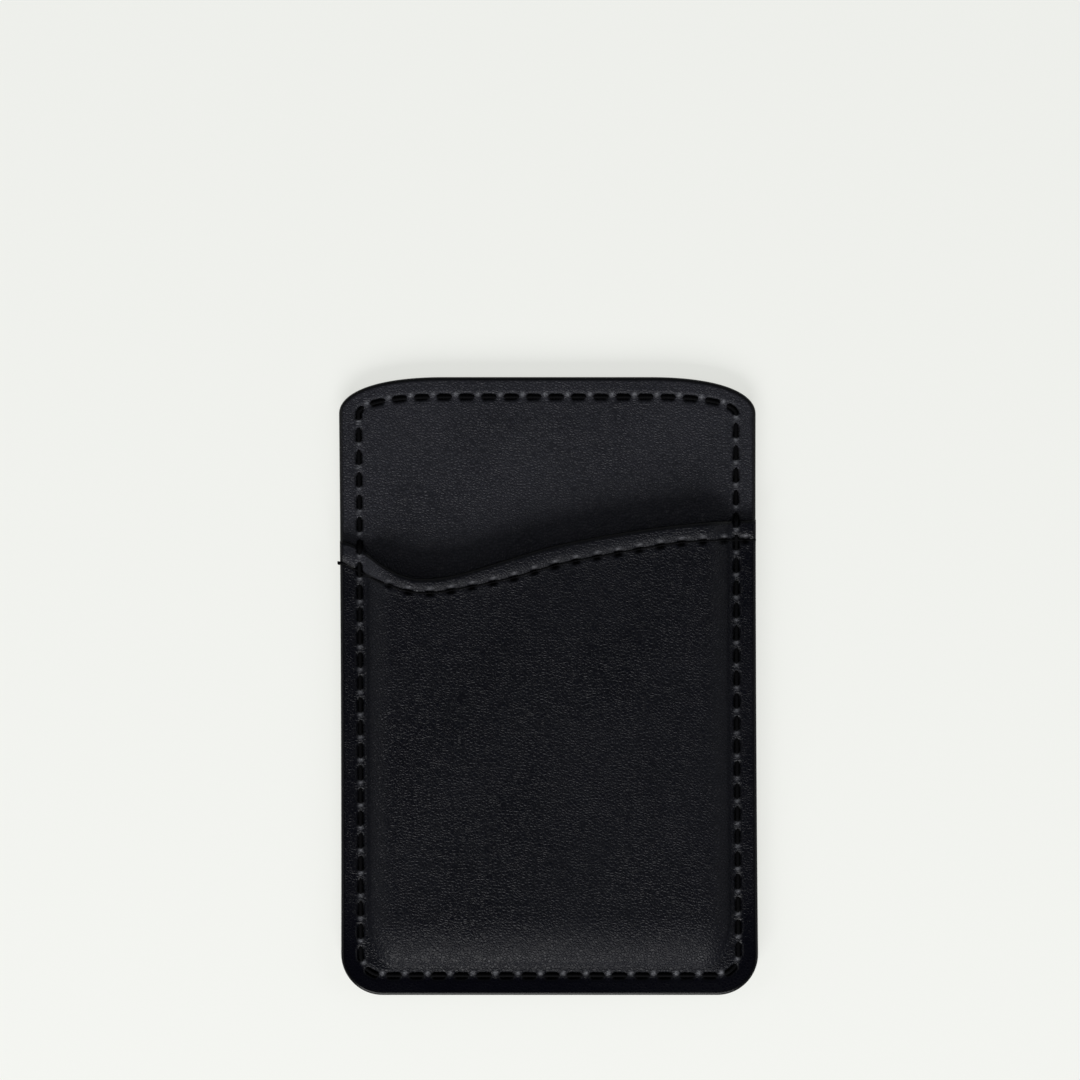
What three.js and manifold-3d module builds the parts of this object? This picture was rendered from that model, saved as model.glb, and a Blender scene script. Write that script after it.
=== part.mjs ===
import * as THREE from 'three';
import { mergeGeometries, mergeVertices } from 'three/addons/utils/BufferGeometryUtils.js';
import Module from 'manifold-3d';

const wasm = await Module();
wasm.setup();

// Stick-on pocket wallet in black leatherette, millimetres, +Z up.
// It lies on its back with the adhesive face at z = 0, X across the width,
// +Y towards the open end, and the origin in the middle of the adhesive face.

// Outline of the back
const width = 63.5;
const height = 94;
const bottomCornerRadius = 6.3;
const shoulderRun = 16; // length of the crowned top corner along the top edge
const shoulderDrop = 5.6; // how far that corner comes down the side
const smallestCorner = 0.6;
const shoulderTopHandle = 0.69; // pull of the top edge on that corner, as a share of its run
const shoulderSideHandle = 0.54; // pull of the side, as a share of its drop

// Layers, from the adhesive up
const adhesiveThickness = 0.5;
const plyThickness = 0.9; // one sheet of leatherette
const turnThickness = 0.6; // the hem's turned edge is pared thinner than the sheet

// Pocket
const pocketDepth = 2.4; // room under the raised panel
const rampRun = 4.5; // sloping border from the seam up to the raised panel
const hemWidth = 4.2; // how far the mouth edge is turned under
const hemBlend = 1.2; // where the sheet settles down past the turned edge

// Mouth curve, heights above the bottom edge and distances from the left edge
const mouthLeftHeight = 69.1;
const mouthDipHeight = 63.4;
const mouthDipDistance = 12.8;
const mouthRiseHeight = 68.1;
const mouthRiseDistance = 31.5;
const mouthRiseSlope = 0.28;
const mouthRightHeight = 72.3;

// Pull of each end on the three stretches of the mouth curve, as shares of a stretch
const leftHandle = 0.3;
const dipHandleBefore = 0.48;
const dipHandleAfter = 0.27;
const riseHandleBefore = 0.48;
const riseHandleAfter = 0.1;
const rightHandle = 0.39;

// Seams
const seamInset = 3; // perimeter seam, measured in from the edge
const seamPitch = 3.42;
const mouthSeamInset = 2.5; // hem seam, measured down from the mouth edge
const mouthSeamPitch = 3.2;
const mouthSeamStart = 2.4; // from the perimeter seam to the first hem stitch
const needleThreadRadius = 0.25;
const bobbinThreadRadius = 0.19;
const needleHoleLength = 1.3;
const needleHoleWidth = 0.8;
const threadEntry = 0.15; // a thread turns down this far inside the end of its hole

// Clearances
const padMargin = 1.6; // from the perimeter seam to the adhesive
const threadBed = 0.03; // between a thread and the sheet it lies on
const lockGap = 0.3; // between the two threads where they lock in a hole

// Fineness of the curved surfaces
const panelColumns = 36;
const rampRows = 6;
const edgeSamples = 400;
const seamSamples = 2000;
const foldSteps = 5;
const arcSteps = 7;

// Derived levels
const halfWidth = width / 2;
const halfHeight = height / 2;
const coverTop = adhesiveThickness + plyThickness;
const facingTop = coverTop + plyThickness;
const hemThickness = plyThickness + turnThickness;
const rampStart = seamInset + needleHoleWidth;

// Outline of a layer, moved in from the edge of the back
function outline(inset) {
  const x = halfWidth - inset;
  const y = halfHeight - inset;
  const radius = Math.max(bottomCornerRadius - inset, smallestCorner);
  const run = Math.max(shoulderRun - inset, smallestCorner);
  const drop = Math.max(shoulderDrop - inset, smallestCorner);
  const handleX = x - run + shoulderTopHandle * run;
  const handleY = y - drop + shoulderSideHandle * drop;
  const shape = new THREE.Shape();
  shape.moveTo(-x + radius, -y);
  shape.lineTo(x - radius, -y);
  shape.absarc(x - radius, -y + radius, radius, -Math.PI / 2, 0);
  shape.lineTo(x, y - drop);
  shape.bezierCurveTo(x, handleY, handleX, y, x - run, y);
  shape.lineTo(-x + run, y);
  shape.bezierCurveTo(-handleX, y, -x, handleY, -x, y - drop);
  shape.lineTo(-x, -y + radius);
  shape.absarc(-x + radius, -y + radius, radius, Math.PI, 1.5 * Math.PI);
  return shape;
}

// Mouth of the pocket: level at the left edge, down to a dip for the thumb,
// then a long rise to the right edge
function mouthPath() {
  const left = new THREE.Vector2(-halfWidth, mouthLeftHeight - halfHeight);
  const dip = new THREE.Vector2(mouthDipDistance - halfWidth, mouthDipHeight - halfHeight);
  const rise = new THREE.Vector2(mouthRiseDistance - halfWidth, mouthRiseHeight - halfHeight);
  const right = new THREE.Vector2(halfWidth, mouthRightHeight - halfHeight);
  const fall = dip.x - left.x;
  const climb = rise.x - dip.x;
  const run = right.x - rise.x;
  const before = riseHandleBefore * climb;
  const after = riseHandleAfter * run;
  const path = new THREE.Path();
  path.moveTo(left.x, left.y);
  path.bezierCurveTo(
    left.x + leftHandle * fall, left.y,
    dip.x - dipHandleBefore * fall, dip.y,
    dip.x, dip.y,
  );
  path.bezierCurveTo(
    dip.x + dipHandleAfter * climb, dip.y,
    rise.x - before, rise.y - mouthRiseSlope * before,
    rise.x, rise.y,
  );
  path.bezierCurveTo(
    rise.x + after, rise.y + mouthRiseSlope * after,
    right.x - rightHandle * run, right.y,
    right.x, right.y,
  );
  return path;
}

const mouth = mouthPath();
const mouthPoints = mouth.getSpacedPoints(edgeSamples);

function mouthHeightAt(x) {
  const next = mouthPoints.findIndex((point) => point.x >= x);
  if (next <= 0) return next === 0 ? mouthPoints[0].y : mouthPoints.at(-1).y;
  const a = mouthPoints[next - 1];
  const b = mouthPoints[next];
  return a.y + ((b.y - a.y) * (x - a.x)) / (b.x - a.x);
}

// Lower edge of the layers, rounded at the two bottom corners
function bottomEdgeAt(x) {
  const intoCorner = Math.max(Math.abs(x) - (halfWidth - bottomCornerRadius), 0);
  const rise = Math.sqrt(Math.max(bottomCornerRadius ** 2 - intoCorner ** 2, 0));
  return -halfHeight + bottomCornerRadius - rise;
}

// Height by which the pocket stands off the back: flat under the seam, then a
// soft slope on the two sides and the bottom, which turns the corners in a curve
function pocketLift(x, y) {
  const fromSide = halfWidth - Math.abs(x) - rampStart;
  const fromBottom = y + halfHeight - rampStart;
  const side = THREE.MathUtils.clamp(fromSide / rampRun, 0, 1);
  const bottom = THREE.MathUtils.clamp(fromBottom / rampRun, 0, 1);
  const upSlope = 1 - Math.hypot(1 - side, 1 - bottom);
  return pocketDepth * THREE.MathUtils.smoothstep(upSlope, 0, 1);
}

// Height added by the turned edge under the sheet
function hemLift(x, y) {
  const below = mouthHeightAt(x) - y;
  return turnThickness * (1 - THREE.MathUtils.smoothstep(below, hemWidth, hemWidth + hemBlend));
}

function panelTop(x, y) {
  return facingTop + plyThickness + pocketLift(x, y) + hemLift(x, y);
}

// Section of the pocket panel at one place across the width, as Y and Z pairs:
// up the underside, round the turned mouth edge and back down the face
function panelSection(x) {
  const bottom = bottomEdgeAt(x);
  const rampEnd = -halfHeight + Math.max(rampStart + rampRun, bottomCornerRadius + 1);
  const mouthY = mouthHeightAt(x);
  const rows = [];
  for (let i = 0; i <= rampRows; i += 1) {
    rows.push(THREE.MathUtils.lerp(bottom, rampEnd, i / rampRows));
  }
  rows.push(mouthY - hemWidth - hemBlend);
  rows.push(mouthY - hemWidth - hemBlend / 2);
  rows.push(mouthY - hemWidth);

  const under = rows.map((y) => [y, panelTop(x, y) - plyThickness]);
  const face = rows.map((y) => [y, panelTop(x, y)]).reverse();
  const foldY = mouthY - hemThickness / 2;
  const foldZ = panelTop(x, foldY) - hemThickness / 2;
  const turnedEdge = [mouthY - hemWidth, panelTop(x, mouthY - hemWidth) - hemThickness];
  const fold = [];
  for (let i = 0; i <= foldSteps; i += 1) {
    const angle = -Math.PI / 2 + (Math.PI * i) / foldSteps;
    const y = foldY + (hemThickness / 2) * Math.cos(angle);
    const z = foldZ + (hemThickness / 2) * Math.sin(angle);
    fold.push([y, z]);
  }
  return [...under, turnedEdge, ...fold, ...face];
}

// Closed skin through rings of points with the same count. A loop joins its
// last ring to its first, and an open run gets a flat cap at each end.
function skin(rings, isLoop, caps) {
  const count = rings[0].length;
  const positions = rings.flat().flatMap((point) => [point.x, point.y, point.z]);
  const index = [];
  const spans = isLoop ? rings.length : rings.length - 1;
  for (let i = 0; i < spans; i += 1) {
    const here = i * count;
    const there = ((i + 1) % rings.length) * count;
    for (let k = 0; k < count; k += 1) {
      const next = (k + 1) % count;
      index.push(here + k, here + next, there + next);
      index.push(here + k, there + next, there + k);
    }
  }
  if (!isLoop) {
    const last = (rings.length - 1) * count;
    caps.forEach(([a, b, c]) => {
      index.push(c, b, a);
      index.push(last + a, last + b, last + c);
    });
  }
  const geometry = new THREE.BufferGeometry();
  geometry.setAttribute('position', new THREE.Float32BufferAttribute(positions, 3));
  geometry.setIndex(index);
  return geometry;
}

function solidFrom(geometry) {
  const bare = geometry.clone();
  bare.deleteAttribute('normal');
  bare.deleteAttribute('uv');
  const merged = mergeVertices(bare, 1e-5);
  return new wasm.Manifold(new wasm.Mesh({
    numProp: 3,
    vertProperties: new Float32Array(merged.attributes.position.array),
    triVerts: new Uint32Array(merged.index.array),
  }));
}

function geometryFrom(solid) {
  const mesh = solid.getMesh();
  const geometry = new THREE.BufferGeometry();
  geometry.setAttribute('position', new THREE.BufferAttribute(mesh.vertProperties, 3));
  geometry.setIndex(new THREE.BufferAttribute(mesh.triVerts, 1));
  geometry.computeVertexNormals();
  return geometry;
}

function pierced(geometry, cutter) {
  return geometryFrom(solidFrom(geometry).subtract(solidFrom(cutter)));
}

function layer(inset, thickness, bottom) {
  const options = { depth: thickness, bevelEnabled: false, curveSegments: arcSteps };
  return new THREE.ExtrudeGeometry(outline(inset), options).translate(0, 0, bottom);
}

// A seam is a path with an offset to its right, and the places of its holes
// as shares of the path's length
function seamPoint(seam, share) {
  const wrapped = seam.isLoop ? share - Math.floor(share) : share;
  const point = seam.path.getPoint(wrapped);
  const along = seam.path.getTangent(wrapped);
  const x = point.x + along.y * seam.offset;
  const y = point.y - along.x * seam.offset;
  return { x, y, angle: Math.atan2(along.y, along.x) };
}

function evenShares(from, to, pitch, length) {
  const count = Math.max(Math.round(((to - from) * length) / pitch), 1);
  const step = (to - from) / count;
  return Array.from({ length: count }, (_, i) => from + (i + 0.5) * step);
}

// The perimeter seam runs all round. It climbs over the mouth edge once on each
// side, and both times the edge lies under the middle of a stitch.
function perimeterSeam() {
  const path = outline(seamInset);
  const isAbove = (i) => {
    const point = path.getPoint(i / seamSamples);
    return point.y > mouthHeightAt(point.x);
  };
  const crossings = [];
  for (let i = 0; i < seamSamples; i += 1) {
    if (isAbove(i) !== isAbove(i + 1)) crossings.push((i + 0.5) / seamSamples);
  }
  const [right, left] = crossings;
  const length = path.getLength();
  const holes = [
    ...evenShares(right, left, seamPitch, length),
    ...evenShares(left, right + 1, seamPitch, length),
  ];
  return { path, offset: 0, isLoop: true, holes };
}

// Share of a seam's path at which it reaches a given distance across the width
function shareAcross(seam, x) {
  let low = 0;
  let high = 1;
  for (let i = 0; i < 40; i += 1) {
    const middle = (low + high) / 2;
    if (seamPoint(seam, middle).x < x) low = middle;
    else high = middle;
  }
  return (low + high) / 2;
}

// The hem seam follows the mouth edge from one side of the pocket to the other
function mouthSeam() {
  const seam = { path: mouth, offset: mouthSeamInset, isLoop: false };
  const reach = halfWidth - seamInset - mouthSeamStart;
  const from = shareAcross(seam, -reach);
  const to = shareAcross(seam, reach);
  const stitches = Math.round(((to - from) * mouth.getLength()) / mouthSeamPitch);
  const step = (to - from) / stitches;
  const holes = Array.from({ length: stitches + 1 }, (_, i) => from + i * step);
  return { ...seam, holes };
}

function needleHoles(seam) {
  const tall = 2 * (facingTop + hemThickness + pocketDepth + plyThickness);
  const punches = seam.holes.map((share) => {
    const { x, y, angle } = seamPoint(seam, share);
    const punch = new THREE.BoxGeometry(needleHoleLength, needleHoleWidth, tall);
    return punch.rotateZ(angle).translate(x, y, 0);
  });
  return mergeGeometries(punches);
}

// One thread of a lockstitch seam: it lies on its sheet between the holes and
// dips into each hole, where it locks round the other thread
function thread(seam, radius, sides, surfaceAt, lockAt) {
  const rim = (needleHoleLength / 2 - threadEntry) / seam.path.getLength();
  const stations = [];
  seam.holes.forEach((share, i) => {
    const isLast = i === seam.holes.length - 1;
    const following = isLast ? seam.holes[0] + 1 : seam.holes[i + 1];
    stations.push({ share, level: lockAt });
    if (isLast && !seam.isLoop) return;
    stations.push({ share: share + rim, level: surfaceAt });
    stations.push({ share: (share + following) / 2, level: surfaceAt });
    stations.push({ share: following - rim, level: surfaceAt });
  });
  const rings = stations.map(({ share, level }) => {
    const { x, y, angle } = seamPoint(seam, share);
    const z = level(x, y);
    return Array.from({ length: sides }, (_, k) => {
      const turn = (2 * Math.PI * (k + 0.5)) / sides - Math.PI / 2;
      const aside = radius * Math.cos(turn);
      const px = x - aside * Math.sin(angle);
      const py = y + aside * Math.cos(angle);
      return new THREE.Vector3(px, py, z + radius * Math.sin(turn));
    });
  });
  const caps = Array.from({ length: sides - 2 }, (_, k) => [0, k + 1, k + 2]);
  return skin(rings, seam.isLoop, caps);
}

function adhesivePad() {
  return layer(seamInset + padMargin, adhesiveThickness, 0);
}

function backCover(holes) {
  return pierced(layer(0, plyThickness, adhesiveThickness), holes);
}

function backFacing(holes) {
  return pierced(layer(0, plyThickness, coverTop), holes);
}

function pocketPanel(holes) {
  const sections = [];
  for (let i = 0; i <= panelColumns; i += 1) {
    const x = halfWidth * Math.sin(Math.PI * (i / panelColumns - 0.5));
    sections.push(panelSection(x).map(([y, z]) => new THREE.Vector3(x, y, z)));
  }
  const contour = sections[0].map((point) => new THREE.Vector2(point.y, point.z));
  const caps = THREE.ShapeUtils.triangulateShape(contour, []);
  return pierced(skin(sections, false, caps), holes);
}

// Top of the stack under the perimeter seam. Just above the mouth edge the
// thread already rides at the height of the hem.
function stackTop(x, y) {
  const edge = mouthHeightAt(x) + needleThreadRadius;
  return y > edge ? facingTop : panelTop(x, Math.min(y, mouthHeightAt(x)));
}

function perimeterThreads(seam) {
  const middle = (x, y) => (adhesiveThickness + stackTop(x, y)) / 2;
  const above = (x, y) => stackTop(x, y) + threadBed + needleThreadRadius;
  const below = () => adhesiveThickness - threadBed - bobbinThreadRadius;
  const lockAbove = (x, y) => middle(x, y) + lockGap / 2 + needleThreadRadius;
  const lockBelow = (x, y) => middle(x, y) - lockGap / 2 - bobbinThreadRadius;
  return {
    needle: thread(seam, needleThreadRadius, 5, above, lockAbove),
    bobbin: thread(seam, bobbinThreadRadius, 4, below, lockBelow),
  };
}

function mouthThreads(seam) {
  const middle = (x, y) => panelTop(x, y) - hemThickness / 2;
  const above = (x, y) => panelTop(x, y) + threadBed + needleThreadRadius;
  const below = (x, y) => panelTop(x, y) - hemThickness - threadBed - bobbinThreadRadius;
  const lockAbove = (x, y) => middle(x, y) + lockGap / 2 + needleThreadRadius;
  const lockBelow = (x, y) => middle(x, y) - lockGap / 2 - bobbinThreadRadius;
  return {
    needle: thread(seam, needleThreadRadius, 5, above, lockAbove),
    bobbin: thread(seam, bobbinThreadRadius, 4, below, lockBelow),
  };
}

function named(name, geometry, material) {
  const mesh = new THREE.Mesh(geometry, material);
  mesh.name = name;
  return mesh;
}

function finish(color, roughness) {
  return new THREE.MeshStandardMaterial({ color, roughness, metalness: 0 });
}

function wallet() {
  const perimeter = perimeterSeam();
  const hem = mouthSeam();
  const perimeterHoles = needleHoles(perimeter);
  const panelHoles = mergeGeometries([perimeterHoles, needleHoles(hem)]);
  const perimeterPair = perimeterThreads(perimeter);
  const hemPair = mouthThreads(hem);

  const group = new THREE.Group();
  group.add(named('adhesive_pad', adhesivePad(), finish(0xd9d8d2, 0.55)));
  group.add(named('back_cover', backCover(perimeterHoles), finish(0x141519, 0.62)));
  group.add(named('back_facing', backFacing(perimeterHoles), finish(0x1a1a1e, 0.6)));
  group.add(named('pocket_panel', pocketPanel(panelHoles), finish(0x15161a, 0.58)));
  group.add(named('perimeter_needle_thread', perimeterPair.needle, finish(0x08080b, 0.7)));
  group.add(named('perimeter_bobbin_thread', perimeterPair.bobbin, finish(0x08080b, 0.75)));
  group.add(named('mouth_needle_thread', hemPair.needle, finish(0x08080b, 0.7)));
  group.add(named('mouth_bobbin_thread', hemPair.bobbin, finish(0x08080b, 0.75)));
  return group;
}

export default wallet();
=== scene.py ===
import math

import bpy
import numpy as np
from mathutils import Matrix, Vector
from mathutils.kdtree import KDTree


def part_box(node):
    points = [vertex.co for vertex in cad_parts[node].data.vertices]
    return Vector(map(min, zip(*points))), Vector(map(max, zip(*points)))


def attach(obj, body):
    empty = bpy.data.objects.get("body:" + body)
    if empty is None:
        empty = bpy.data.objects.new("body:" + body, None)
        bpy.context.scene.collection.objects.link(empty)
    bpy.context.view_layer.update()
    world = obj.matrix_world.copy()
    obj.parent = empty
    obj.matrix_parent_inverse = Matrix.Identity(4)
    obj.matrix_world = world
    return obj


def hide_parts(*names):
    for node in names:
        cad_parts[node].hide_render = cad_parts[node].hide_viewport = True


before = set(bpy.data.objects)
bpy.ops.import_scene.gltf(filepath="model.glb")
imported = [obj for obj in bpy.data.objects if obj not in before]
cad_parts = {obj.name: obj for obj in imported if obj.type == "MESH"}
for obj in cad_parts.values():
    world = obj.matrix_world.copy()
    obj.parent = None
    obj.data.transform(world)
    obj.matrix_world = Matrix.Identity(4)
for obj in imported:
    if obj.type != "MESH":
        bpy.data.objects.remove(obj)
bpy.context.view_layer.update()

mm = 0.001  # shapes are worked out in millimetres and stored in metres


def span(node, axis):
    low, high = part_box(node)
    return low[axis] / mm, high[axis] / mm


halfWidth = span("back_facing", 0)[1]
halfHeight = span("back_facing", 1)[1]
coverBottom, coverTop = span("back_cover", 2)
facingTop = span("back_facing", 2)[1]
plyThickness = facingTop - coverTop
panelBase = facingTop + plyThickness  # face of the panel where it is sewn down flat

outlineShape = {
    "cornerRadius": 6.3,
    "smallestCorner": 0.6,
    "shoulderRun": 16.0,  # crowned top corners
    "shoulderDrop": 5.6,
    "topHandle": 0.69,
    "sideHandle": 0.54,
    "waist": 0.16,  # each side pulls in by this at mid length
    "lean": 0.2,  # the bottom sits this far to the right, and the top to the left
}

mouthShape = {
    "left": (0.0, 69.1),  # from the left edge, and above the bottom edge
    "dip": (12.8, 63.4),
    "rise": (31.5, 68.1),
    "rightHeight": 72.3,
    "riseSlope": 0.28,
    "handles": (0.3, 0.48, 0.27, 0.48, 0.1, 0.39),
}

sampleStep = 0.1


# Curves in plan

def bezier(p0, p1, p2, p3):
    rough = math.dist(p0, p1) + math.dist(p1, p2) + math.dist(p2, p3)
    t = np.linspace(0, 1, max(int(rough / sampleStep), 8))[:, None]
    a, b, c, d = (np.array(p, float) for p in (p0, p1, p2, p3))
    return (1 - t) ** 3 * a + 3 * (1 - t) ** 2 * t * b + 3 * (1 - t) * t ** 2 * c + t ** 3 * d


def roundCorner(x, y, radius, start):
    angles = np.linspace(start, start + math.pi / 2, 60)
    return np.column_stack([x + radius * np.cos(angles), y + radius * np.sin(angles)])


def outlinePoints(inset):
    s = outlineShape
    x, y = halfWidth - inset, halfHeight - inset
    radius = max(s["cornerRadius"] - inset, s["smallestCorner"])
    run = max(s["shoulderRun"] - inset, s["smallestCorner"])
    drop = max(s["shoulderDrop"] - inset, s["smallestCorner"])
    handleX = x - run + s["topHandle"] * run
    handleY = y - drop + s["sideHandle"] * drop
    shoulder = bezier((x, y - drop), (x, handleY), (handleX, y), (x - run, y))
    return np.vstack([
        roundCorner(x - radius, -y + radius, radius, -math.pi / 2),
        shoulder,
        shoulder[::-1] * (-1, 1),
        roundCorner(-x + radius, -y + radius, radius, math.pi),
    ])


def mouthPoints():
    s = mouthShape
    h = s["handles"]
    corner = np.array([halfWidth, halfHeight])
    left, dip, rise = (np.array(s[name]) - corner for name in ("left", "dip", "rise"))
    right = np.array([halfWidth, s["rightHeight"] - halfHeight])
    fall, climb, run = dip[0] - left[0], rise[0] - dip[0], right[0] - rise[0]
    level = np.array([1, 0])
    slant = np.array([1, s["riseSlope"]])
    return np.vstack([
        bezier(left, left + h[0] * fall * level, dip - h[1] * fall * level, dip),
        bezier(dip, dip + h[2] * climb * level, rise - h[3] * climb * slant, rise)[1:],
        bezier(rise, rise + h[4] * run * slant, right - h[5] * run * level, right)[1:],
    ])


class Track:  # a line in plan, with its length, direction and the way in from it

    def __init__(self, points, closed):
        ends = np.vstack([points, points[:1]]) if closed else points
        steps = np.linalg.norm(np.diff(ends, axis=0), axis=1)
        ends = ends[np.concatenate([[True], steps > 1e-6])]
        reach = np.concatenate([[0], np.cumsum(steps[steps > 1e-6])])
        self.closed = closed
        self.length = reach[-1]
        count = int(self.length / sampleStep)
        self.along = np.linspace(0, self.length, count, endpoint=not closed)
        self.points = np.column_stack([np.interp(self.along, reach, ends[:, k]) for k in (0, 1)])
        if closed:
            self.forward = np.roll(self.points, -1, 0) - np.roll(self.points, 1, 0)
        else:
            self.forward = np.gradient(self.points, axis=0)
        self.forward /= np.linalg.norm(self.forward, axis=1)[:, None]
        self.inward = np.column_stack([-self.forward[:, 1], self.forward[:, 0]])
        self.tree = KDTree(count)
        for i, (x, y) in enumerate(self.points):
            self.tree.insert((x, y, 0), i)
        self.tree.balance()

    def nearest(self, x, y):
        flat = np.column_stack([x.ravel(), y.ravel()])
        index = np.array([self.tree.find((a, b, 0))[1] for a, b in flat])
        offset = flat - self.points[index]
        along = self.along[index] + (offset * self.forward[index]).sum(1)
        inward = (offset * self.inward[index]).sum(1)
        return along.reshape(x.shape), inward.reshape(x.shape)

    def at(self, along):
        period = self.length if self.closed else None
        columns = np.hstack([self.points, self.inward]).T
        placed = np.column_stack([np.interp(along, self.along, column, period=period) for column in columns])
        return placed[:, :2], placed[:, 2:]


def smooth(value, low, high):
    t = np.clip((value - low) / (high - low), 0, 1)
    return t * t * (3 - 2 * t)


outline = Track(outlinePoints(0), True)
mouthLine = mouthPoints()
mouthSlope = np.gradient(mouthLine[:, 1], mouthLine[:, 0])


def mouthEdge(x):
    return np.interp(x, mouthLine[:, 0], mouthLine[:, 1])


def belowMouth(x, y):
    slope = np.interp(x, mouthLine[:, 0], mouthSlope)
    return (mouthEdge(x) - y) / np.sqrt(1 + slope ** 2)


def bottomEdge(x):
    radius = outlineShape["cornerRadius"]
    into = np.clip(np.abs(x) - (halfWidth - radius), 0, radius)
    return -halfHeight + radius - np.sqrt(radius ** 2 - into ** 2)


def topEdge(x):
    around = outlinePoints(0)
    upper = around[around[:, 1] > 0]
    order = np.argsort(upper[:, 0])
    return np.interp(x, upper[order, 0], upper[order, 1])


def settle(x, y, z):  # the soft outline: a slight waist and lean
    s = outlineShape
    share = y / halfHeight
    narrow = 1 - s["waist"] / halfWidth * (1 - share ** 2)
    return np.stack([x * narrow - s["lean"] * share, y, z], -1) * mm


# Seams

perimeterSeam = {
    "inset": 3.0,
    "pitch": 3.42,
    "slotStart": (0.16, 0.3),  # the thread sinks in here, as shares of a stitch from its hole
    "slotDepth": 0.55,
    "slotWidth": 0.5,
    "holeDepth": 0.0,  # no open pit: the slot swallows it
    "holeLength": 0.45,
    "holeWidth": 0.5,
    "valleyDepth": 0.12,
    "valleyWidth": 1.0,
    "bridge": 0.14,  # the sheet humps up between two stitches
    "pucker": 0.05,  # swelling on both sides of the stitches
    "threadRadius": 0.27,
    "threadSink": 0.26,  # centre of the thread below the face of the sheet
    "threadDive": 0.6,  # further down at each hole
    "crease": 0.0,
    "slotShade": 1.0,  # how dark the painted shade inside the slot is
    "highlightLength": 0.27,
    "highlightWidth": 0.3,
    "highlightShift": 0.36,  # the painted highlights sit this far towards the mouth
    "highlightShare": 1.0,
}

mouthSeam = {
    "inset": (  # where x is, and how far below the mouth edge
        (-31.5, 3.4), (-28.0, 3.2), (-23.0, 2.2), (-14.0, 2.25),
        (-6.0, 3.0), (10.0, 3.0), (20.0, 2.75), (31.0, 3.1),
    ),
    "pitch": 3.2,
    "slotStart": (0.12, 0.3),
    "slotDepth": 0.08,
    "slotWidth": 0.27,
    "holeDepth": 0.7,
    "holeLength": 0.6,
    "holeWidth": 0.46,
    "valleyDepth": 0.14,
    "valleyWidth": 0.7,
    "bridge": 0.0,
    "pucker": 0.06,
    "threadRadius": 0.15,
    "threadSink": 0.24,
    "threadDive": 0.55,
    "crease": 7.0,  # the sheet folds along the seam as far as this from its left end
    "slotShade": 0.6,
    "highlightLength": 0.4,
    "highlightWidth": 0.2,
    "highlightShift": 0.6,
    "highlightShare": 0.4,
}


def mouthInset(x):
    places, insets = zip(*mouthSeam["inset"])
    return np.interp(x, places, insets)


def evenHoles(start, end, pitch):
    count = max(round((end - start) / pitch), 1)
    return start + (np.arange(count) + 0.5) * (end - start) / count


def layPerimeterSeam():
    track = Track(outlinePoints(perimeterSeam["inset"]), True)
    above = track.points[:, 1] > mouthEdge(track.points[:, 0])
    change = np.flatnonzero(above != np.roll(above, -1))
    right, left = track.along[change]
    pitch = perimeterSeam["pitch"]
    upper = evenHoles(right, left, pitch)
    lower = evenHoles(left, right + track.length, pitch)
    return track, np.sort(np.concatenate([upper, lower]) % track.length)


def layMouthSeam():
    slope = mouthSlope[:, None]
    down = np.hstack([slope, -np.ones_like(slope)]) / np.sqrt(1 + slope ** 2)
    line = mouthLine + down * mouthInset(mouthLine[:, :1])
    inside = np.abs(line[:, 0]) < halfWidth
    line = line[inside]
    first = [[-halfWidth, line[0, 1]]]
    last = [[halfWidth, line[-1, 1]]]
    track = Track(np.vstack([first, line, last]), False)
    return track, evenHoles(0, track.length, mouthSeam["pitch"])


perimeterTrack, perimeterHoles = layPerimeterSeam()
mouthTrack, mouthHoles = layMouthSeam()


def fromHole(along, holes, track):  # distance to the nearest hole, as a share of a stitch
    if track.closed:
        holes = np.concatenate([holes[-1:] - track.length, holes, holes[:1] + track.length])
    index = np.clip(np.searchsorted(holes, along), 1, len(holes) - 1)
    before, after = holes[index - 1], holes[index]
    share = (along - before) / (after - before)
    return np.minimum(np.abs(share), np.abs(1 - share))


def hump(distance, width, order):
    return np.exp(-np.abs(distance / width) ** order)


def seamRelief(look, track, holes, x, y):
    along, across = track.nearest(x, y)
    gap = fromHole(along, holes, track)
    uneven = 1 + 0.16 * np.sin(along * 1.9) + 0.1 * np.sin(along * 0.73 + 1)  # no two stitches alike
    pierced = look["holeDepth"] > 0
    folded = (1 - smooth(along, look["crease"], look["crease"] + 2)) * (look["crease"] > 0)
    slot = np.maximum(smooth(gap, *look["slotStart"]) * uneven, folded)
    slot = slot * hump(across, look["slotWidth"], 4)
    hole = hump(gap * look["pitch"], look["holeLength"], 3) * hump(across, look["holeWidth"], 3)
    hole = hole * uneven * pierced * (1 - folded)
    lip = hump(np.abs(across) - 1.8 * look["slotWidth"], look["slotWidth"], 2)
    atHole = hump(gap * look["pitch"], look["holeLength"], 2)
    height = look["pucker"] * lip * (atHole if pierced else 1 - atHole)
    height = height + look["bridge"] * atHole * hump(across, look["slotWidth"] * 1.2, 2)
    height = height - look["valleyDepth"] * hump(across, look["valleyWidth"], 2)
    height = height - np.maximum(look["slotDepth"] * slot, look["holeDepth"] * hole)
    # painted highlight: paler colour beside each hole, shifted towards the mouth; the same spots are also
    # made smoother
    along, across = track.nearest(x, y - look["highlightShift"])
    gap = fromHole(along, holes, track)
    highlightAndPolish = hump(gap * look["pitch"], look["highlightLength"], 2) * hump(across, look["highlightWidth"], 2)
    highlightAndPolish = highlightAndPolish * uneven * (1 - folded) * look["highlightShare"]
    # painted shade: the slots and the folded crease are coloured dark, as if in shadow
    dark = np.maximum(slot * np.maximum(look["slotShade"], folded), hole)
    return height, np.clip(dark, 0, 1), np.clip(highlightAndPolish, 0, 1)


# Height of each sheet

pocketShape = {
    "depth": 2.4,
    "rampStart": 3.6,
    "sideRun": 5.0,
    "bottomRun": 8.5,
}

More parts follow.
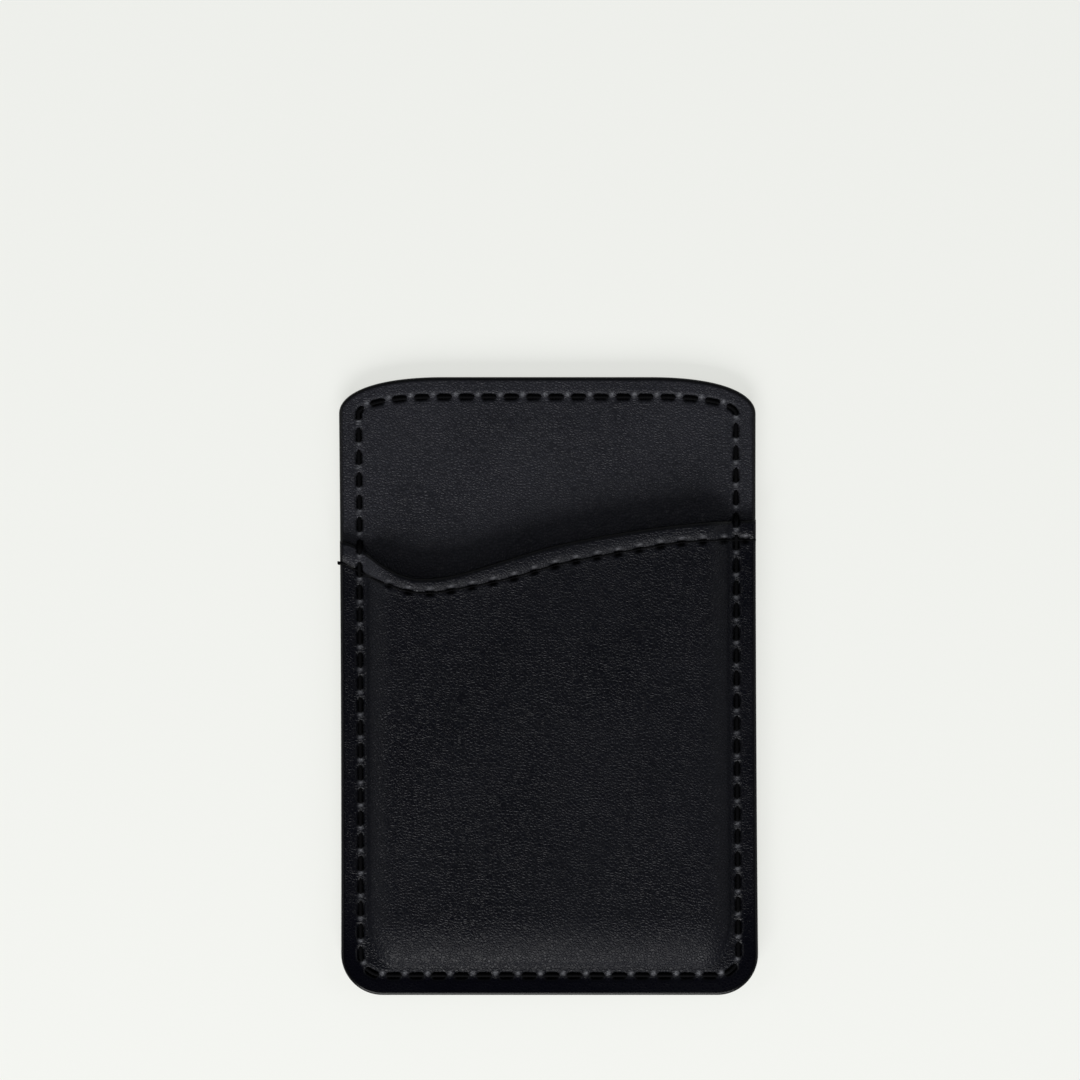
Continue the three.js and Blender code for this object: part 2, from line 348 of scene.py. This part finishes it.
hemShape = {
    "turn": 0.6,  # pared edge turned under the sheet
    "turnEnd": (-1.7, 1.6),  # it dies out here, measured down from the hem seam
    "band": (-0.7, 0.2),  # the sheet over it is painted paler, as if lit, down to here
    "tilt": 0.1,  # the lip rises from the seam to its crest
    "crest": 0.75,
}

edgeRound = {
    "panel": 0.5,
    "facing": 0.6,
    "cover": 0.45,
    "seat": 0.12,  # where one sheet meets the next
}


def roundedEdge(inward, radius):
    into = np.clip(radius - inward, 0, radius)
    return radius - np.sqrt(radius ** 2 - into ** 2)


def ripple(x, y, size):  # slow unevenness of a hand-sized sheet
    waves = np.sin(0.21 * x + 0.13 * y) + np.sin(0.17 * y - 0.11 * x + 2) + np.sin(0.34 * x - 0.27 * y + 4)
    return size * waves / 3


def hemLift(x, y):
    below = belowMouth(x, y)
    turned = 1 - smooth(below - mouthInset(x), *hemShape["turnEnd"])
    lip = 1 - smooth(below, hemShape["crest"], mouthInset(x) - 0.1)
    return hemShape["turn"] * turned, hemShape["tilt"] * lip


def pocketLift(x, y):  # steepest near the seam, easing off onto the flat of the pocket
    s = pocketShape
    side = np.clip((halfWidth - np.abs(x) - s["rampStart"]) / s["sideRun"], 0, 1)
    bottom = np.clip((y + halfHeight - s["rampStart"]) / s["bottomRun"], 0, 1)
    toTop = np.clip(np.hypot(1 - side, 1 - bottom), 0, 1)
    raised = (1 - toTop ** 2) * smooth(toTop, 1, 0.8)
    return s["depth"] * raised, raised


def panelHeight(x, y):
    lift, raised = pocketLift(x, y)
    turned, lip = hemLift(x, y)
    return panelBase + lift + turned + lip * raised + ripple(x, y, 0.12) * raised


def stackHeight(x, y):  # what the perimeter seam lies on, mouth edge included
    onPanel = smooth(belowMouth(x, y), -0.5, 0.15)
    return facingTop + (panelHeight(x, np.minimum(y, mouthEdge(x))) - facingTop) * onPanel


# Meshes

meshStep = {
    "rim": (0, 0.03, 0.08, 0.15, 0.25, 0.37, 0.5),  # over the rounded edge
    "fine": 0.22,  # across the perimeter seam
    "middle": 0.27,
    "underside": 0.4,
    "fineReach": 5.5,  # from the edge inwards
}

panelRows = {
    "evenUpTo": 8.0,  # above this height the rows follow the mouth curve
    "bend": 12.0,  # above the bottom edge, where they leave its curve
    "mouthRows": 60,
    "foldSteps": 9,
    "hemRows": 24,  # kept one by one on the inner side
    "hiddenStep": 6,  # elsewhere on the inner side one row in so many
}

backRows = {
    "hiddenTop": 12.0,  # coarse up to here, where the pocket covers it
    "hiddenRows": 34,
    "bottomBend": 12.0,
    "topBend": 14.0,
}


def spread(middle, total):
    s = meshStep
    reach = s["fineReach"]
    near = np.arange(s["rim"][-1] + s["fine"], reach, s["fine"])
    far = np.linspace(reach, total - reach, int((total - 2 * reach) / middle))
    side = np.concatenate([s["rim"], near])
    return np.concatenate([side, far, total - side[::-1]])


def newPiece(name, vertices, faces, replaced):
    mesh = bpy.data.meshes.new(name)
    mesh.from_pydata(vertices.reshape(-1, 3).tolist(), [], faces)
    mesh.update()
    mesh.shade_smooth()
    piece = bpy.data.objects.new(name, mesh)
    bpy.context.collection.objects.link(piece)
    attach(piece, "root")
    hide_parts(replaced)
    print("built", name, len(mesh.vertices), "vertices")
    return piece


def rimRuns(columns, rows, kept):  # stretches of a grid's rim, anticlockwise from above
    pairs = list(zip(kept[:-1], kept[1:]))
    low = [[(i, 0), (i + 1, 0)] for i in range(columns - 1)]
    right = [[(columns - 1, j) for j in range(a, b + 1)] for a, b in pairs]
    high = [[(i + 1, rows - 1), (i, rows - 1)] for i in reversed(range(columns - 1))]
    left = [[(0, j) for j in range(b, a - 1, -1)] for a, b in reversed(pairs)]
    return low + right + high + left


def gridFaces(columns, rows, offset, flipped):
    i, j = np.meshgrid(np.arange(columns - 1), np.arange(rows - 1), indexing="ij")
    a = (i * rows + j + offset).ravel()
    quads = np.column_stack([a, a + rows, a + rows + 1, a + 1])
    return (quads[:, ::-1] if flipped else quads).tolist()


def sheet(name, replaced, face, back, kept, masks, faceDown=False):
    columns, rows = face.shape[:2]
    count = columns * rows
    runs = rimRuns(columns, rows, kept)
    faces = gridFaces(columns, rows, 0, faceDown)
    if np.ndim(back):
        behind = {(i, j): count + i * len(kept) + k for i in range(columns) for k, j in enumerate(kept)}
        faces += gridFaces(columns, len(kept), count, not faceDown)
        backPoints = back[:, kept].reshape(-1, 3)
    else:  # a hidden side is one flat face at this height
        behind = {run[0]: count + k for k, run in enumerate(runs)}
        loop = list(behind.values())
        faces.append(loop if faceDown else loop[::-1])
        backPoints = np.array([face[place] for place in behind])
        backPoints[:, 2] = back * mm
    for run in runs:
        wall = [behind[run[0]], behind[run[-1]]] + [i * rows + j for i, j in reversed(run)]
        faces.append(wall[::-1] if faceDown else wall)
    points = np.vstack([face.reshape(-1, 3), backPoints])
    piece = newPiece(name, points, faces, replaced)
    for label, values in masks.items():
        layer = piece.data.attributes.new(label, "FLOAT", "POINT")
        full = np.ones(len(points)) if label == "edge" else np.zeros(len(points))
        full[:count] = values.ravel()
        if np.ndim(back):
            full[count:] = values[:, kept].ravel()
        layer.data.foreach_set("value", full)
    return piece


def columnPlaces():
    return spread(meshStep["middle"], 2 * halfWidth) - halfWidth


def rowPlaces(x, low, high, places, bottomEase, topEase):
    base = np.broadcast_to(places, (len(x), len(places)))
    lowReach = low[:, None] + (base + halfHeight) * (bottomEase - low[:, None]) / (bottomEase + halfHeight)
    highEnd = places[-1]
    highReach = high[:, None] - (highEnd - base) * (high[:, None] - topEase) / (highEnd - topEase)
    return np.where(base < bottomEase, lowReach, np.where(base > topEase, highReach, base))


def edgeMask(inward):
    return 1 - smooth(inward, 0.3, 0.75)


def panelPlaces(foldRadius):
    s = panelRows
    x = columnPlaces()
    straightEnd = s["evenUpTo"]
    lower = spread(meshStep["middle"], 2 * halfHeight) - halfHeight
    upper = np.linspace(straightEnd, straightEnd + 12, s["mouthRows"])
    places = np.concatenate([lower[lower < straightEnd], upper])
    y = rowPlaces(x, bottomEdge(x), mouthEdge(x) - foldRadius, places, -halfHeight + s["bend"], straightEnd)
    return np.broadcast_to(x[:, None], y.shape), y


def makePanel():
    foldRadius = (plyThickness + hemShape["turn"]) / 2
    xx, y = panelPlaces(foldRadius)

    perimeterCut, perimeterDark, perimeterHighlight = seamRelief(
        perimeterSeam, perimeterTrack, perimeterHoles, xx, y)
    mouthCut, mouthDark, mouthHighlight = seamRelief(mouthSeam, mouthTrack, mouthHoles, xx, y)
    _, inward = outline.nearest(xx, y)
    top = panelHeight(xx, y)
    turned, _ = hemLift(xx, y)
    under = top - plyThickness - turned
    face = top + perimeterCut + mouthCut - roundedEdge(inward, edgeRound["panel"])
    under = np.minimum(under + roundedEdge(inward, edgeRound["seat"]), face - 0.05)
    under = np.maximum(under, facingTop)

    turn = np.linspace(0, math.pi / 2, panelRows["foldSteps"])[1:]  # round the mouth edge
    foldY = y[:, -1:] + foldRadius * np.sin(turn)
    foldX = np.broadcast_to(xx[:, :1], foldY.shape)
    middle = (face[:, -1:] + under[:, -1:]) / 2
    half = (face[:, -1:] - under[:, -1:]) / 2 * np.cos(turn) + 0.01
    face = np.hstack([face, middle + half])
    under = np.hstack([under, middle - half])
    allX = np.hstack([xx, foldX])
    allY = np.hstack([y, foldY])
    pad = np.zeros_like(foldY)
    # the rounded mouth fold gets the edge colour as painted shade
    edge = np.hstack([edgeMask(inward), np.broadcast_to(smooth(turn, 0, 0.7), foldY.shape)])
    dark = np.hstack([np.clip(perimeterDark + mouthDark, 0, 1), pad])
    highlightAndPolish = np.hstack([np.clip(perimeterHighlight + mouthHighlight, 0, 1), pad])
    # painted light on the hem band
    brighterToLeft = 1 - 0.9 * smooth(xx, -halfWidth + 3, -halfWidth + 9)  # most at the left end
    band = 1 - smooth(belowMouth(xx, y) - mouthInset(xx), *hemShape["band"])
    hem = np.hstack([brighterToLeft * band, pad])
    # the margin outside the perimeter seam is pressed smooth, and painted darker as shade, most near the
    # bottom
    margin = 1 - smooth(inward, perimeterSeam["inset"] - 0.7, perimeterSeam["inset"] + 0.5)
    nearBottom = 1 - smooth(y, -halfHeight + 3, -halfHeight + 20)
    pressedAndShaded = np.hstack([margin * (0.45 + 0.55 * nearBottom), pad])
    rows = face.shape[1]
    hemStart = rows - panelRows["hemRows"]
    kept = [*range(0, hemStart, panelRows["hiddenStep"]), *range(hemStart, rows)]
    return sheet(
        "pocketPanelSkin", "pocket_panel",
        settle(allX, allY, face), settle(allX, allY, under), kept,
        {"edge": edge, "stitchShade": dark, "highlightAndPolish": highlightAndPolish, "hem": hem, "pressedAndShaded": pressedAndShaded},
    )


def backPlaces(faceDown):
    s = backRows
    x = columnPlaces()
    if faceDown:
        places = spread(meshStep["underside"], 2 * halfHeight) - halfHeight
    else:
        places = spread(meshStep["middle"], 2 * halfHeight) - halfHeight
        edge = places[places < -halfHeight + meshStep["fineReach"]]
        hidden = np.linspace(edge[-1] + 1, s["hiddenTop"], s["hiddenRows"])
        places = np.concatenate([edge, hidden, places[places > s["hiddenTop"]]])
    bends = -halfHeight + s["bottomBend"], halfHeight - s["topBend"]
    y = rowPlaces(x, bottomEdge(x), topEdge(x), places, *bends)
    return np.broadcast_to(x[:, None], y.shape), y


def makeBackSheet(name, node, faceDown):
    xx, y = backPlaces(faceDown)
    cut, dark, highlightAndPolish = seamRelief(perimeterSeam, perimeterTrack, perimeterHoles, xx, y)
    _, inward = outline.nearest(xx, y)
    if faceDown:
        level = coverBottom - cut * 0.6 + roundedEdge(inward, edgeRound["cover"])
        seat = coverTop - edgeRound["seat"] / 2
    else:
        shown = smooth(y, mouthEdge(xx) - 1, mouthEdge(xx) + 1.5)
        wave = ripple(xx + 9, y - 4, 0.1) * smooth(inward, 4, 9)
        level = facingTop + (cut + np.minimum(wave, 0.03)) * shown
        level = level - roundedEdge(inward, edgeRound["facing"])
        seat = coverTop
    plain = np.zeros_like(y)
    return sheet(
        name, node, settle(xx, y, level), seat, range(y.shape[1]),
        {"edge": edgeMask(inward), "stitchShade": dark, "highlightAndPolish": highlightAndPolish, "hem": plain, "pressedAndShaded": plain},
        faceDown,
    )


# Thread

threadShape = {
    "step": 0.16,
    "sides": 12,
    "strands": 3,
    "strandDepth": 0.13,
    "twistPitch": 1.5,
    "bobbinShare": 0.8,  # of the needle thread's radius
    "tail": (0.32, 0.24, 0.16, 0.08),  # the loose end, out from the left edge
    "knot": 0.9,  # how much thicker the knot is
}


def twistedThread(name, node, points, sideways, radius, closed):
    s = threadShape
    forward = np.gradient(points, axis=0)
    if closed:
        forward = np.roll(points, -1, 0) - np.roll(points, 1, 0)
    forward /= np.linalg.norm(forward, axis=1)[:, None]
    across = np.column_stack([sideways, np.zeros(len(points))])
    up = np.cross(forward, across)
    up /= np.linalg.norm(up, axis=1)[:, None]
    steps = np.linalg.norm(np.diff(points, axis=0), axis=1)
    along = np.concatenate([[0], np.cumsum(steps)])
    turns = along / s["twistPitch"]
    if closed:
        turns *= round(turns[-1]) / turns[-1]
    angle = 2 * math.pi * np.arange(s["sides"]) / s["sides"]
    lobes = np.cos(s["strands"] * (angle[None, :] - 2 * math.pi * turns[:, None]))
    size = radius * (1 + s["strandDepth"] * lobes)
    ring = points[:, None, :]
    ring = ring + across[:, None, :] * (size * np.cos(angle))[:, :, None]
    ring = ring + up[:, None, :] * (size * np.sin(angle))[:, :, None]
    count, sides = size.shape
    faces = []
    for i in range(count if closed else count - 1):
        here, there = i * sides, (i + 1) % count * sides
        for k in range(sides):
            n = (k + 1) % sides
            faces.append([here + k, there + k, there + n, here + n])
    if not closed:
        faces.append(list(range(sides)))
        faces.append([(count - 1) * sides + k for k in reversed(range(sides))])
    placed = settle(ring[..., 0], ring[..., 1], ring[..., 2])
    return newPiece(name, placed, faces, node)


def sewn(look, track, holes, start, end, surface, side):
    step = threadShape["step"]
    count = int((end - start) / step)
    along = np.linspace(start, end, count, endpoint=not track.closed)
    point, inward = track.at(along)
    gap = fromHole(along % track.length if track.closed else along, holes, track) * look["pitch"]
    dive = look["threadDive"] * hump(gap, 0.42, 2)
    level = surface(point[:, 0], point[:, 1]) - side * (look["threadSink"] + dive)
    return np.column_stack([point, level]), inward


def coverUnderside(x, y):
    return np.full(len(x), coverBottom)


def hemUnderside(x, y):
    return panelHeight(x, y) - plyThickness - hemLift(x, y)[0]


def makePerimeterThreads():
    look, track, holes = perimeterSeam, perimeterTrack, perimeterHoles
    radius = look["threadRadius"]
    path, inward = sewn(look, track, holes, 0, track.length, stackHeight, 1)
    needle = twistedThread("perimeterNeedleThread", "perimeter_needle_thread", path, inward, radius, True)
    path, inward = sewn(look, track, holes, 0, track.length, coverUnderside, -1)
    radius = radius * threadShape["bobbinShare"]
    bobbin = twistedThread("perimeterBobbinThread", "perimeter_bobbin_thread", path, inward, radius, True)
    return [needle, bobbin]


def makeMouthThreads():
    look, track, holes = mouthSeam, mouthTrack, mouthHoles
    radius = look["threadRadius"]
    path, inward = sewn(look, track, holes, 0, track.length, panelHeight, 1)
    tail = path[0] - np.outer(threadShape["tail"], (1, 0, 0.3))  # its end sticks out at the left edge
    path = np.vstack([tail, path])
    inward = np.vstack([inward[:1]] * len(tail) + [inward])
    knot = 1 + threadShape["knot"] * hump(path[:, :1] + halfWidth + 0.15, 0.3, 2)
    needle = twistedThread("mouthNeedleThread", "mouth_needle_thread", path, inward, radius * knot, False)
    hidden = pocketShape["rampStart"] + 2  # inside the pocket it stops short of the perimeter seam
    path, inward = sewn(look, track, holes, hidden, track.length - hidden, hemUnderside, -1)
    radius = radius * threadShape["bobbinShare"]
    bobbin = twistedThread("mouthBobbinThread", "mouth_bobbin_thread", path, inward, radius, False)
    return [needle, bobbin]


# Finishes

class Wire:  # a socket that can be used in sums

    def __init__(self, tree, socket):
        self.tree = tree
        self.socket = socket

    def math(self, operation, *values):
        return node(self.tree, "ShaderNodeMath", {"operation": operation}, dict(enumerate(values)))

    def __add__(self, other):
        return self.math("ADD", self, other)

    def __radd__(self, other):
        return self.math("ADD", other, self)

    def __sub__(self, other):
        return self.math("SUBTRACT", self, other)

    def __rsub__(self, other):
        return self.math("SUBTRACT", other, self)

    def __mul__(self, other):
        return self.math("MULTIPLY", self, other)

    def __rmul__(self, other):
        return self.math("MULTIPLY", other, self)


def node(tree, kind, settings=None, sockets=None, output=0):
    made = tree.nodes.new(kind)
    for key, value in (settings or {}).items():
        setattr(made, key, value)
    for key, value in (sockets or {}).items():
        if isinstance(value, Wire):
            tree.links.new(value.socket, made.inputs[key])
        else:
            made.inputs[key].default_value = value
    return Wire(tree, made.outputs[output])


def newFinish(name, constants):
    material = bpy.data.materials.new(name)
    material.use_nodes = True
    tree = material.node_tree
    shader = tree.nodes["Principled BSDF"]
    for key, value in constants.items():
        shader.inputs[key].default_value = value
    return material, tree, shader


def join(tree, wire, socket):
    tree.links.new(wire.socket, socket)


def mask(tree, name):  # one of the values that the meshes carry
    return node(tree, "ShaderNodeAttribute", {"attribute_name": name}, output="Fac")


def noise(tree, place, scale, detail):
    return node(tree, "ShaderNodeTexNoise", {}, {"Vector": place, "Scale": scale, "Detail": detail})


def blend(tree, share, first, second):  # of two colours
    return node(tree, "ShaderNodeMix", {"data_type": "RGBA"}, {0: share, 6: first, 7: second}, 2)


def relief(tree, height, distance, strength):
    return node(tree, "ShaderNodeBump", {}, {"Height": height, "Distance": distance, "Strength": strength})


leatherLook = {
    "pebbleScale": 2200.0,
    "domeReach": 0.28,  # width of a pebble's shoulder
    "bendScale": 420.0,  # the pebbles are pushed about at this scale
    "bendReach": 0.0006,
    "fineScale": 6000.0,
    "broadScale": 55.0,  # cloudy change of tone
    "broadRange": (0.35, 0.68),
    "grainHeight": 0.00007,
    "roughness": 0.37,
    "specular": 0.13,
    "pressedAndShaded": (0.0006, 0.0006, 0.0018, 1),  # outside the perimeter seam: pressed smooth, and painted darker as shade
    # edge paint on the cut edges, and painted shade on the mouth fold
    "edgePaintAndFoldShade": (0.0006, 0.0006, 0.0010, 1),
    "seamShade": (0.0003, 0.0003, 0.0005, 1),
    "highlightAndPolish": (0.17, 0.171, 0.184, 1),  # painted highlight between the stitches
}

panelTint = {
    "dark": (0.0009, 0.0010, 0.0024, 1),
    "light": (0.0026, 0.0029, 0.0052, 1),
    # the hem band, painted paler as if lit
    "hem": (0.0210, 0.0213, 0.0260, 1),
}

backTint = {
    "dark": (0.0085, 0.0087, 0.0112, 1),
    "light": (0.0205, 0.0208, 0.0260, 1),
    "hem": (0.0130, 0.0132, 0.0160, 1),
}


def leatherette(name, tint):
    s = {**leatherLook, **tint}
    material, tree, shader = newFinish(name, {"Specular IOR Level": s["specular"], "IOR": 1.48})
    place = node(tree, "ShaderNodeTexCoord", output="Object")
    edge, stitchShade, hem = mask(tree, "edge"), mask(tree, "stitchShade"), mask(tree, "hem")
    pressedAndShaded, highlightAndPolish = mask(tree, "pressedAndShaded"), mask(tree, "highlightAndPolish")

    bend = node(tree, "ShaderNodeTexNoise", {},
                {"Vector": place, "Scale": s["bendScale"], "Detail": 2.0}, "Color")
    swirl = node(tree, "ShaderNodeVectorMath", {"operation": "MULTIPLY_ADD"},
                 {0: bend, 1: (s["bendReach"],) * 3, 2: place})
    pebble = node(tree, "ShaderNodeTexVoronoi", {"feature": "DISTANCE_TO_EDGE"},
                  {"Vector": swirl, "Scale": s["pebbleScale"]}, "Distance")
    dome = node(tree, "ShaderNodeMapRange", {"interpolation_type": "SMOOTHSTEP"},
                {"Value": pebble, "From Min": 0.0, "From Max": s["domeReach"]})
    fine = noise(tree, place, s["fineScale"], 3.0)
    broad = node(tree, "ShaderNodeTexNoise", {},
                 {"Vector": place, "Scale": s["broadScale"], "Detail": 4.0, "Roughness": 0.6})
    tone = node(tree, "ShaderNodeMapRange", {},
                {"Value": broad, "From Min": s["broadRange"][0], "From Max": s["broadRange"][1]})

    colour = blend(tree, tone * 0.35 + dome * 0.65, s["dark"], s["light"])
    # painted light on the hem band
    colour = blend(tree, hem * 0.8, colour, s["hem"])
    # painted shade on the pressed margin
    colour = blend(tree, pressedAndShaded * 0.9, colour, s["pressedAndShaded"])
    # painted shade in the stitch slots
    colour = blend(tree, stitchShade * 0.95, colour, s["seamShade"])
    # painted highlight beside the holes
    colour = blend(tree, highlightAndPolish * (0.5 + fine * 0.6), colour, s["highlightAndPolish"])
    colour = blend(tree, edge, colour, s["edgePaintAndFoldShade"])
    join(tree, colour, shader.inputs["Base Color"])

    rough = s["roughness"] + 0.14 * (fine - 0.5) + 0.1 * (1 - dome) + 0.12 * (tone - 0.5)
    polish = edge * 0.05 + pressedAndShaded * 0.14 + highlightAndPolish * 0.14
    join(tree, rough - polish + stitchShade * 0.3, shader.inputs["Roughness"])

    grain = (dome + fine * 0.35) * (1 - edge * 0.85) * (1 - pressedAndShaded * 0.7)
    join(tree, relief(tree, grain, s["grainHeight"], 0.8), shader.inputs["Normal"])
    return material


threadLook = {
    "dark": (0.0004, 0.0004, 0.0006, 1),
    "light": (0.0016, 0.0016, 0.0021, 1),
    "fibreScale": 9000.0,
    "fibreHeight": 0.00003,
    "roughness": 0.85,
}


def threadFinish():
    s = threadLook
    material, tree, shader = newFinish("blackThread", {"Specular IOR Level": 0.06})
    place = node(tree, "ShaderNodeTexCoord", output="Object")
    fibre = noise(tree, place, s["fibreScale"], 2.0)
    join(tree, blend(tree, fibre, s["dark"], s["light"]), shader.inputs["Base Color"])
    join(tree, s["roughness"] + 0.2 * (fibre - 0.5), shader.inputs["Roughness"])
    join(tree, relief(tree, fibre, s["fibreHeight"], 0.6), shader.inputs["Normal"])
    return material


adhesiveLook = {
    "pale": (0.66, 0.65, 0.60, 1),
    "warm": (0.56, 0.54, 0.48, 1),
    "cloudScale": 90.0,
    "fibreScale": 1800.0,
    "fibreHeight": 0.00002,
    "roughness": 0.34,
}


def adhesiveFinish():
    s = adhesiveLook
    material, tree, shader = newFinish("adhesiveSheet", {"Specular IOR Level": 0.5})
    place = node(tree, "ShaderNodeTexCoord", output="Object")
    cloud = noise(tree, place, s["cloudScale"], 5.0)
    fibres = noise(tree, place, s["fibreScale"], 3.0)
    join(tree, blend(tree, cloud * 0.7 + fibres * 0.3, s["pale"], s["warm"]), shader.inputs["Base Color"])
    join(tree, s["roughness"] + 0.25 * (fibres - 0.5), shader.inputs["Roughness"])
    height = cloud * 0.5 + fibres * 0.5
    join(tree, relief(tree, height, s["fibreHeight"], 0.4), shader.inputs["Normal"])
    return material


# Build the pieces

panelFinish = leatherette("panelLeatherette", panelTint)
backFinish = leatherette("backLeatherette", backTint)
panelSkin = makePanel()
panelSkin.data.materials.append(panelFinish)
facingSkin = makeBackSheet("backFacingSkin", "back_facing", False)
facingSkin.data.materials.append(backFinish)
coverSkin = makeBackSheet("backCoverSkin", "back_cover", True)
coverSkin.data.materials.append(backFinish)
blackThread = threadFinish()
for thread in makePerimeterThreads() + makeMouthThreads():
    thread.data.materials.append(blackThread)

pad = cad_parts["adhesive_pad"]
pad.data.materials.clear()
pad.data.materials.append(adhesiveFinish())
print("finishes are on")


# Floor, light and camera

studio = {
    "floor": (0.86, 0.865, 0.845, 1),
    "floorSeen": (0.885, 0.895, 0.85, 1),  # shown beside its light and shade
    "floorSeenShare": 0.75,
    "floorSize": 3.0,
    "world": (0.88, 0.93, 1.0, 1),
    "worldLow": 0.6,  # strength of the surroundings, level with the floor
    "worldHigh": 0.05,  # and overhead
    "key": {"place": (-0.1, -0.85, 0.5), "size": (0.9, 0.45), "power": 15.0},
    "left": {"place": (-0.9, 0.05, 0.6), "size": (0.6, 0.6), "power": 1.8},
    "right": {"place": (0.9, 0.05, 0.6), "size": (0.6, 0.6), "power": 1.6},
}

photograph = {
    "millimetresPerPixel": 0.152,
    "pixels": 1080,
    "walletCentre": (548.5, 686.0),  # pixels across and down
    "lens": 200.0,
    "sensor": 36.0,
}


def makeFloor():
    half = studio["floorSize"] / 2
    corners = [(-half, -half, 0), (half, -half, 0), (half, half, 0), (-half, half, 0)]
    mesh = bpy.data.meshes.new("floor")
    mesh.from_pydata(corners, [], [(0, 1, 2, 3)])
    floor = bpy.data.objects.new("floor", mesh)
    bpy.context.collection.objects.link(floor)
    constants = {"Base Color": studio["floor"], "Roughness": 0.8, "Specular IOR Level": 0.1}
    material, tree, shader = newFinish("paleFloor", constants)
    direct = node(tree, "ShaderNodeLightPath", output="Is Camera Ray")
    mirrored = node(tree, "ShaderNodeLightPath", output="Is Glossy Ray")
    through = node(tree, "ShaderNodeLightPath", output="Is Transmission Ray")
    share = (direct + mirrored + through) * studio["floorSeenShare"]
    plain = node(tree, "ShaderNodeEmission", {}, {"Color": studio["floorSeen"], "Strength": 1.0})
    lit = Wire(tree, shader.outputs[0])
    both = node(tree, "ShaderNodeMixShader", {}, {0: share, 1: lit, 2: plain})
    join(tree, both, tree.nodes["Material Output"].inputs["Surface"])
    mesh.materials.append(material)


def makeLight(name, look):
    lamp = bpy.data.lights.new(name, "AREA")
    lamp.shape = "RECTANGLE"
    lamp.size, lamp.size_y = look["size"]
    lamp.energy = look["power"]
    light = bpy.data.objects.new(name, lamp)
    light.location = look["place"]
    light.rotation_euler = (-Vector(look["place"])).to_track_quat("-Z", "Y").to_euler()
    bpy.context.collection.objects.link(light)


def makeWorld():
    world = bpy.data.worlds.new("studio")
    world.use_nodes = True
    tree = world.node_tree
    background = tree.nodes["Background"]
    background.inputs["Color"].default_value = studio["world"]
    towards = node(tree, "ShaderNodeTexCoord", output="Generated")
    height = node(tree, "ShaderNodeSeparateXYZ", {}, {0: towards}, "Z")
    strength = node(tree, "ShaderNodeMapRange", {}, {
        "Value": height, "From Min": 0.0, "From Max": 1.0,
        "To Min": studio["worldLow"], "To Max": studio["worldHigh"],
    })
    join(tree, strength, background.inputs["Strength"])
    bpy.context.scene.world = world


def makeCamera():
    s = photograph
    middle = s["pixels"] / 2
    x = (middle - s["walletCentre"][0]) * s["millimetresPerPixel"]
    y = (s["walletCentre"][1] - middle) * s["millimetresPerPixel"]
    across = s["pixels"] * s["millimetresPerPixel"]
    away = across * s["lens"] / s["sensor"] + panelBase
    view = bpy.data.cameras.new("view")
    view.lens = s["lens"]
    view.sensor_width = s["sensor"]
    view.clip_end = 20
    camera = bpy.data.objects.new("view", view)
    camera.location = (x * mm, y * mm, away * mm)
    bpy.context.collection.objects.link(camera)
    bpy.context.scene.camera = camera


makeFloor()
for name in ("key", "left", "right"):
    makeLight(name, studio[name])
makeWorld()
makeCamera()
bpy.context.scene.view_settings.view_transform = "Standard"
print("studio is set")
